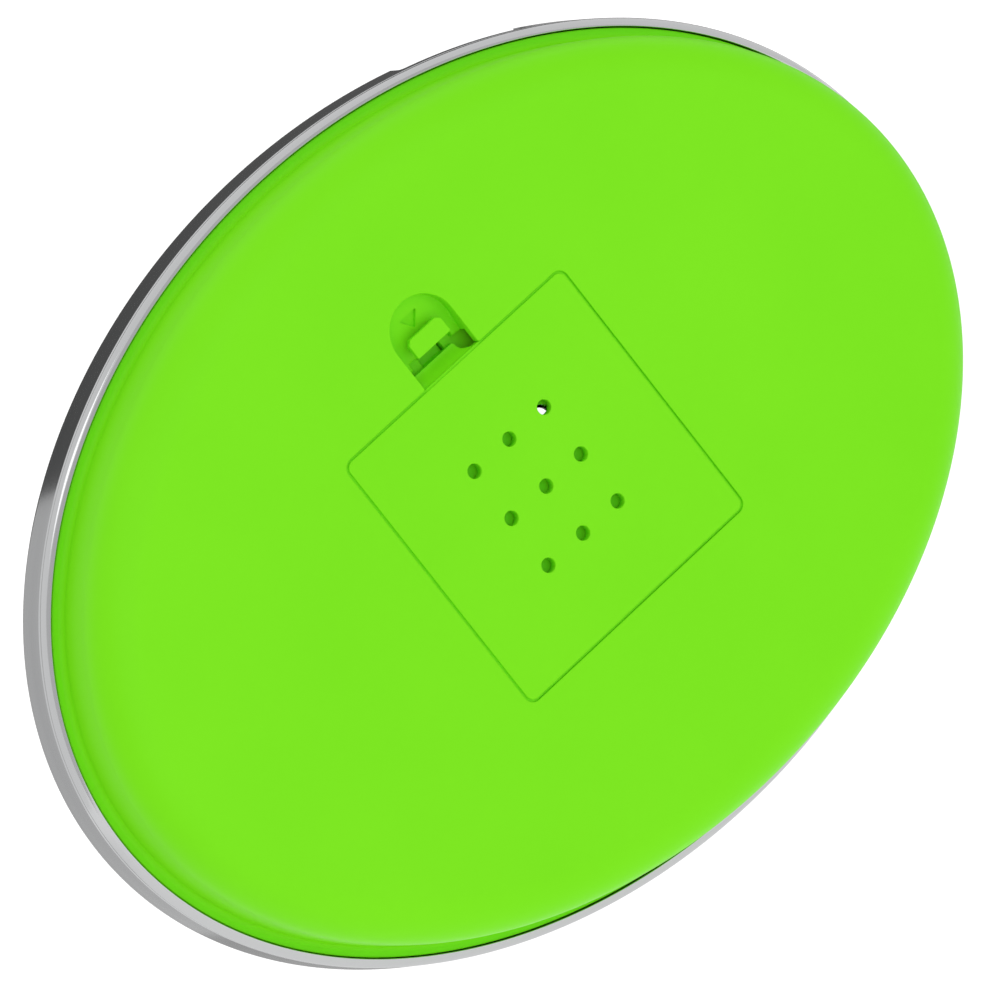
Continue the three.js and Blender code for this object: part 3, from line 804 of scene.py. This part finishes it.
def clear_window():
    """A flat oval pane on a curved skirt, with a screwed flange and four seats for the funnels."""
    s = Surface()
    inner, outer = -12.2, -5.2
    flat_at, rise = -26, PANE_FACE_Y - PANE_FLANGE_Y - PANE_T
    support = flat_at - 0.6
    steps = 14

    def skirt(foot, base):
        rows = [(inner, base), (foot, base)]
        for i in range(1, steps + 1):
            u = i / steps
            rows.append((foot + (flat_at - foot) * u, base + rise * (1 - (1 - u) ** 2)))
        return [*rows, (support, base + rise)]

    low, high = PANE_FLANGE_Y, PANE_FLANGE_Y + PANE_T
    s.ring(skirt(-14, low), closed=False)
    s.ring(skirt(-13.5, high), closed=False)
    edge = 0.35
    s.ring(
        [
            (outer, low),
            (PANE_OUTER - edge, low),
            *arc(PANE_OUTER - edge, low + edge, edge, -90, 0, 3),
            *arc(PANE_OUTER - edge, high - edge, edge, 0, 90, 3),
            (outer, high),
        ],
        closed=False,
    )
    flange(s, low, high, inner, outer)
    seats = [circle(x, z, FUNNEL["mouth"] + GAP, 48) for x, z in funnel_places()]
    for y in (low + rise, high + rise):
        s.fill([oval(support), *seats], y)
    for seat in seats:
        s.strip(at(seat, low + rise), at(seat, high + rise))
    return s


def funnel_places():
    return [(sx * FUNNEL["x"], sz * FUNNEL["z"]) for sz in (1, -1) for sx in (-1, 1)]


def entry_funnel(x, z):
    """A flared tube, narrow end inward, with a rolled rim that rests on the pane."""
    s = Surface()
    mouth, throat, wall, tip = FUNNEL["mouth"], FUNNEL["throat"], FUNNEL["wall"], FUNNEL["tip_y"]
    rim_y = PANE_FACE_Y + GAP
    steps, neck = 8, 3.8
    flare, bore_flare = 1.25, 1.15
    outside = [(throat + 0.15, tip), (throat + wall - 0.2, tip), (throat + wall, tip + 0.3)]
    for i in range(1, steps + 1):
        u = i / steps
        r = throat + wall + (mouth - throat - wall) * u**flare
        outside.append((r, tip + 0.3 + (rim_y - neck - tip) * u))
    rolled_rim = [
        (mouth, rim_y),
        (mouth + 1.7, rim_y),
        *arc(mouth + 1.7, rim_y + 0.3, 0.3, -90, 0, 3),
        *arc(mouth + 0.8, rim_y + 0.2, 1.2, 12, 90, 6),
        *arc(mouth - 0.2, rim_y + 0.4, 1.0, 90, 170, 5),
    ]
    bore = []
    for i in range(steps, -1, -1):
        u = i / (steps + 1)
        r = throat + (mouth - wall - throat) * u**bore_flare
        bore.append((r, tip + 0.15 + (rim_y - tip) * u))
    s.lathe(x, z, outside + rolled_rim + bore, 64)
    return s


# ---------- hanger ----------


def hanger_bracket():
    """A riveted plate and the rolled knuckle that holds the wire."""
    s = Surface()
    y = PANE_FLANGE_Y + PANE_T + GAP
    holes = [circle(x, z, HOLE_FOR_SCREW, 20) for x, z in RIVETS]
    plate = rectangle(-BRACKET["x"], BRACKET["x"], BRACKET["z0"], BRACKET["z1"], BRACKET["r"])
    s.slab(plate, y, y + BRACKET["t"], holes, (0.2, 0.25))
    foot_y = y + BRACKET["t"] - 0.1
    strap = [(LOOP["z"] - 2.9, foot_y), (LOOP["z"] + 2.7, foot_y)]
    strap += arc(LOOP["z"], LOOP["y"], KNUCKLE["r"], -35, 215, 28)
    bore = circle(LOOP["z"], LOOP["y"], LOOP["wire_r"] + GAP, 28)
    knuckle = Surface()
    knuckle.slab(strap, -KNUCKLE["x"], KNUCKLE["x"], [bore], (0.25, 0.25))
    knuckle.turn_to_x()
    s.add(knuckle)
    return s


def rivet(x, z):
    """A domed head on the bracket, a shank and a hollow foot spread behind the flange."""
    s = Surface()
    head_y = PANE_FLANGE_Y + PANE_T + GAP + BRACKET["t"] + GAP
    foot_y = FLANGE_Y - GAP
    head = [(0, 0.9), (0.7, 0.84), (1.4, 0.6), (1.9, 0.2), (2.0, 0), (1, 0)]
    foot = [(1, 0), (1.9, 0), (2.0, -0.2), (1.4, -0.7), (0.5, -0.75), (0.4, -0.2), (0, -0.2)]
    profile = [(r, head_y + rise) for r, rise in head] + [(r, foot_y + rise) for r, rise in foot]
    s.lathe(x, z, profile, closed=False)
    return s


def hanger_loop():
    """One wire: a straight leg through the knuckle and a rounded loop that hangs below it."""
    s = Surface()
    half, low, high = LOOP["x"], LOOP["z"] - LOOP["drop"], LOOP["z"]
    r, top_r, wire_r = LOOP["corner_r"], LOOP["top_r"], LOOP["wire_r"]
    path = rounded([(-half, high, top_r), (-half, low, r), (half, low, r), (half, high, top_r)], 12)
    sides = 20
    rings = []
    for (x, z), (outer_x, outer_z) in zip(path, grown(path, wire_r)):
        ring = []
        for k in range(sides):
            a = math.tau * k / sides
            out = math.cos(a)
            y = LOOP["y"] + wire_r * math.sin(a)
            ring.append((x + (outer_x - x) * out, y, z + (outer_z - z) * out))
        rings.append(ring)
    s.strip(*rings, rings[0])
    return s


# ---------- bait hatch ----------


def hatch_ramp(surface):
    """The hatch's sloping edge that drops into the finger recess, cut back at its right end."""
    wide, narrow, start, ridge = RECESS["x"] - DOOR_GAP, RAMP["cut_x"], DOOR_HALF, RAMP["z"]
    outline = rounded(
        [
            (-wide, start - 0.8, 0),
            (wide, start - 0.8, 0),
            (wide, start + 0.1, 0),
            (narrow, start + 1.3, 1.0),
            (narrow, ridge, 0.3),
            (-wide, ridge, 0.3),
        ],
        6,
    )

    def slope(_, z):
        u = min(1, max(0, (z - start) / (ridge - start)))
        return RAMP["y0"] + (RAMP["y1"] - RAMP["y0"]) * (1 - (1 - u) ** RAMP["hollow"])

    across = np.arange(-5.4, 5.5, 0.9)
    rows = [(x, z) for z in np.arange(start + 0.1, ridge - 0.1, 0.25) for x in across]
    surface.fill([outline], slope, rows)
    back = RAMP["y1"] + RAMP["t"]
    surface.strip([(x, slope(x, z), z) for x, z in outline], at(outline, back))
    surface.fill([outline], back)


def hatch_door():
    s = Surface()
    grid = [(column, row) for column in (-1, 0, 1) for row in (-1, 0, 1)]
    holes = [circle(column * HOLE_PITCH[0], row * HOLE_PITCH[1], HOLE_R, 40) for column, row in grid]
    plate = rectangle(-DOOR_HALF, DOOR_HALF, -DOOR_HALF, DOOR_HALF, DOOR_R, 8)
    s.slab(plate, 0, DOOR_T, holes, (0.18, 0.2), (0.14, 0.14))
    # A rebate all round keeps the gap beside the hatch shallow.
    reach = DOOR_HALF + (DOOR_GAP - 0.04)
    rebate = rectangle(-reach, reach, -reach, reach, 2, 8)
    s.slab(rebate, REBATE_Y, DOOR_T, [grown(plate, -1)], (0.1, 0.1), (0, 0))
    hatch_ramp(s)

    for x in (-TONGUE["at_x"], TONGUE["at_x"]):
        x0, x1 = x - TONGUE["x"], x + TONGUE["x"]
        tongue = rectangle(x0, x1, TONGUE["z0"], TONGUE["z1"], 1)
        root = rectangle(x0, x1, TONGUE["root_z0"], TONGUE["root_z1"], 0.4)
        s.slab(tongue, DOOR_T, DOOR_T + TONGUE["t"], edges=(0.2, 0.4))
        s.slab(root, DOOR_T - 0.3, DOOR_T + 0.5, edges=(0, 0))
    return s


def lure_tray():
    s = Surface()
    x, z, wall = TRAY["x"], TRAY["z"], TRAY["wall"]
    back = TRAY["y0"] + TRAY["floor_t"]
    outer = rectangle(-x, x, -z, z, TRAY["r"])
    hollow = rectangle(-x + wall, x - wall, -z + wall, z - wall, TRAY["r"] - wall)
    port = circle(*TRAY_PORT)
    rows = [(grown(outer, -inset), y) for inset, y in rim(TRAY["y0"], TRAY["y1"], 0.3, 0.3)]
    s.strip(*(at(row, y) for row, y in rows))
    s.fill([rows[0][0], port], TRAY["y0"])
    s.fill([rows[-1][0], hollow], TRAY["y1"])
    s.strip(at(hollow, back), at(hollow, TRAY["y1"]))
    s.fill([hollow, port], back)
    s.strip(at(port, TRAY["y0"]), at(port, back))
    return s


def pad_retainer():
    s = Surface()
    pitch, half, r = RETAINER_SLOT["pitch"], RETAINER_SLOT["x"], RETAINER_SLOT["r"]
    holes = [circle(*RETAINER_PORT)]
    for i in range(-RETAINER_SLOT["each_side"], RETAINER_SLOT["each_side"] + 1):
        x0, x1 = i * pitch - half, i * pitch + half
        holes.append(rectangle(x0, x1, RETAINER_SLOT["z0"], RETAINER_SLOT["z1"], r, 4))
    plate = rectangle(-TRAY["x"], TRAY["x"], -TRAY["z"], TRAY["z"], TRAY["r"])
    s.slab(plate, RETAINER_Y, RETAINER_Y + RETAINER_T, holes, (0.3, 0.3))
    return s


def lure_pad():
    """A thick felt pad with a swollen face and a fibrous skin."""
    s = Surface()
    half_x, y0, thick = PAD["x"], PAD["y"], PAD["t"]
    half_z, middle_z = (PAD["z1"] - PAD["z0"]) / 2, (PAD["z0"] + PAD["z1"]) / 2
    outline = rectangle(-half_x, half_x, PAD["z0"], PAD["z1"], PAD["r"], 5)
    spacing, margin = 0.7, 0.4
    across = slice(-half_x + margin, half_x, spacing)
    up = slice(PAD["z0"] + margin, PAD["z1"], spacing)
    grid = np.mgrid[across, up].reshape(2, -1).T
    kept = [tuple(p) for p in grid[inside(grid, grown(outline, -0.9))].tolist()]

    def swell(x, z):
        brim_width = 2.5
        away_x, away_z = half_x - abs(x), half_z - abs(z - middle_z)
        rise = min(1, away_x / brim_width) * min(1, away_z / brim_width)
        fibres = noise.noise(Vector((x * 1.7, 0, z * 1.7))) * 0.05
        return y0 + thick - 0.5 + 0.4 * math.sqrt(max(0, rise)) + fibres

    brim = grown(outline, -0.5)
    s.strip(
        at(brim, y0),
        at(outline, y0 + 0.4),
        at(outline, y0 + thick - 1),
        [(x, swell(x, z), z) for x, z in brim],
    )
    s.fill([brim], y0)
    s.fill([brim], swell, kept)
    return s


def latch_tab():
    """A sprung U under the hatch's sloping edge that comes up again as the finger tab."""
    s = Surface()
    x, z0, z1, c = TAB["x"], TAB["z0"], TAB["z1"], TAB["chamfer"]
    corners = [(-x, z0), (x, z0), (x, z1 - c), (x - c, z1), (-x + c, z1), (-x, z1 - c)]
    pad = rounded([(u, v, 0.2) for u, v in corners], 4)
    tab_back = TAB["y"] + TAB["t"]
    s.slab(pad, TAB["y"], tab_back, edges=(0.12, 0.12))

    inner, end, low, thick, bend = (SPRING[key] for key in ("z", "end_y", "y", "t", "bend_r"))
    outer = z0 + 0.3
    profile = rounded(
        [
            (inner, end, 0),
            (inner, low, bend),
            (outer + thick, low, bend),
            (outer + thick, tab_back - 0.2, 0),
            (outer, tab_back - 0.2, 0),
            (outer, low - thick, bend - thick),
            (inner + thick, low - thick, bend - thick),
            (inner + thick, end, 0),
        ],
        5,
    )
    spring = Surface()
    spring.slab(list(reversed(profile)), -SPRING["x"], SPRING["x"])
    spring.turn_to_x()
    s.add(spring)
    return s


# ---------- the trap ----------

place(rear_shell(), "rear_shell", "case", LIME)
place(seal_ring(), "seal_ring", "case", RUBBER)
place(bait_grille(), "bait_grille", "case", BLACK)
for i, (x, z) in enumerate(GRILLE_SCREWS):
    fixing = screw(x, z, GRILLE_Y + GRILLE_T + GAP, length=8)
    place(fixing, f"grille_screw_{i + 1}", "case", SCREW_FINISH)

place(steel_bezel(), "steel_bezel", "cover", STEEL_FINISH)
place(cover_frame(), "cover_frame", "cover", BLACK)
place(clear_window(), "clear_window", "cover", CLEAR)
for i, (x, z) in enumerate(funnel_places()):
    place(entry_funnel(x, z), f"entry_funnel_{i + 1}", "cover", LIME)
for i, (x, z) in enumerate(pane_screws()):
    fixing = screw(x, z, PANE_FLANGE_Y + PANE_T + GAP, length=4)
    place(fixing, f"window_screw_{i + 1}", "cover", SCREW_FINISH)
place(hanger_bracket(), "hanger_bracket", "cover", STEEL_FINISH)
for i, (x, z) in enumerate(RIVETS):
    place(rivet(x, z), f"bracket_rivet_{i + 1}", "cover", SCREW_FINISH)
place(hanger_loop(), "hanger_loop", "hanger", STEEL_FINISH)

place(hatch_door(), "hatch_door", "hatch", LIME)
place(lure_tray(), "lure_tray", "hatch", LIME)
pad = place(lure_pad(), "lure_pad", "hatch", FELT, sharp=60)
place(pad_retainer(), "pad_retainer", "hatch", BLACK)
place(latch_tab(), "latch_tab", "latch", LIME)

# ---------- studio ----------


def card(name, size, location, aim, radiance, glossy=True):
    """A flat card facing a point. Only reflections see it, or else, with glossy off, it only
    shades and lights dull surfaces."""
    mesh = bpy.data.meshes.new(name)
    w, h = size[0] / 2, size[1] / 2
    mesh.from_pydata([(-w, -h, 0), (w, -h, 0), (w, h, 0), (-w, h, 0)], [], [(0, 1, 2, 3)])
    obj = bpy.data.objects.new(name, mesh)
    bpy.context.scene.collection.objects.link(obj)
    obj.location = location
    obj.rotation_euler = (Vector(aim) - Vector(location)).to_track_quat("Z", "Y").to_euler()
    material = bpy.data.materials.new(name)
    material.use_nodes = True
    shader = material.node_tree.nodes["Principled BSDF"]
    shader.inputs["Base Color"].default_value = (0, 0, 0, 1)
    shader.inputs["Specular IOR Level"].default_value = 0
    shader.inputs["Emission Color"].default_value = (radiance, radiance, radiance, 1)
    shader.inputs["Emission Strength"].default_value = 1
    mesh.materials.append(material)
    obj.visible_camera = obj.visible_transmission = False
    obj.visible_glossy = glossy
    obj.visible_diffuse = obj.visible_shadow = not glossy
    return obj


def studio():
    scene = bpy.context.scene
    scene.view_settings.view_transform = "Standard"

    world = bpy.data.worlds.new("studio")
    world.use_nodes = True
    background = world.node_tree.nodes["Background"]
    background.inputs["Color"].default_value = (1, 1, 1, 1)
    background.inputs["Strength"].default_value = 1.0
    scene.world = world

    floor_mesh = bpy.data.meshes.new("floor")
    reach, drop = 12, -0.3
    floor_mesh.from_pydata(
        [(-reach, -reach, drop), (reach, -reach, drop), (reach, reach, drop), (-reach, reach, drop)],
        [],
        [(0, 1, 2, 3)],
    )
    floor = bpy.data.objects.new("floor", floor_mesh)
    scene.collection.objects.link(floor)
    pale = bpy.data.materials.new("floor")
    pale.use_nodes = True
    shader = pale.node_tree.nodes["Principled BSDF"]
    shader.inputs["Base Color"].default_value = (0.9, 0.9, 0.9, 1)
    shader.inputs["Roughness"].default_value = 1
    shader.inputs["Specular IOR Level"].default_value = 0
    shader.inputs["Emission Color"].default_value = (1, 1, 1, 1)
    shader.inputs["Emission Strength"].default_value = 0.25
    floor_mesh.materials.append(pale)

    lamp = bpy.data.lights.new("softbox", "AREA")
    lamp.size, lamp.energy = 1.0, 3.6
    softbox = bpy.data.objects.new("softbox", lamp)
    softbox.location = (-0.9, -1.6, 2.4)
    softbox.rotation_euler = (-Vector(softbox.location)).to_track_quat("-Z", "Y").to_euler()
    scene.collection.objects.link(softbox)

    behind, before = 0.45, -2.6
    foot, top, left, seam, right = drop + 0.01, 0.6, -0.8, -0.13, 0.6
    for name, y, (x0, x1), (z0, z1), radiance in (
        ("dark_card", behind, (seam, right), (0, top), 0.11),
        ("grey_card", behind, (left, seam), (foot, top), 0.63),
        ("low_card", behind, (seam, right), (foot, 0), 0.42),
        ("front_card", before, (-2.2, 2.2), (foot, 2.2), 0.74),
    ):
        centre = ((x0 + x1) / 2, y, (z0 + z1) / 2)
        card(name, (x1 - x0, z1 - z0), centre, (centre[0], 0, centre[2]), radiance)
    flag_z = 0.42
    for side, name in ((-1, "left_flag"), (1, "right_flag")):
        card(name, (2, 1.4), (side * 1.2, 0, flag_z), (0, 0, flag_z), 0.66, glossy=False)


AZIMUTH, ELEVATION, ROLL = (math.radians(a) for a in (-19.4002, 13.2668, -38.168))
DISTANCE = 2.20184
AIM_FROM_REAR_FACE = Vector((-8.03, 3.67, 3.37))


def camera():
    data = bpy.data.cameras.new("camera")
    data.lens, data.sensor_width = 406.7, 36
    cam = bpy.data.objects.new("camera", data)
    bpy.context.scene.collection.objects.link(cam)
    # The camera's own axes: back points at it from the aim, and right is tilted by the roll.
    back = Vector(
        (
            math.sin(AZIMUTH) * math.cos(ELEVATION),
            -math.cos(AZIMUTH) * math.cos(ELEVATION),
            math.sin(ELEVATION),
        )
    )
    level = Vector((math.cos(AZIMUTH), math.sin(AZIMUTH), 0))
    right = level * math.cos(ROLL) + back.cross(level) * math.sin(ROLL)
    turn = Matrix((right, back.cross(right), back)).transposed().to_4x4()
    aim = ROW_FROM_DRAWN @ AIM_FROM_REAR_FACE
    cam.matrix_world = Matrix.Translation(aim + back * DISTANCE) @ turn
    bpy.context.scene.camera = cam


studio()
camera()
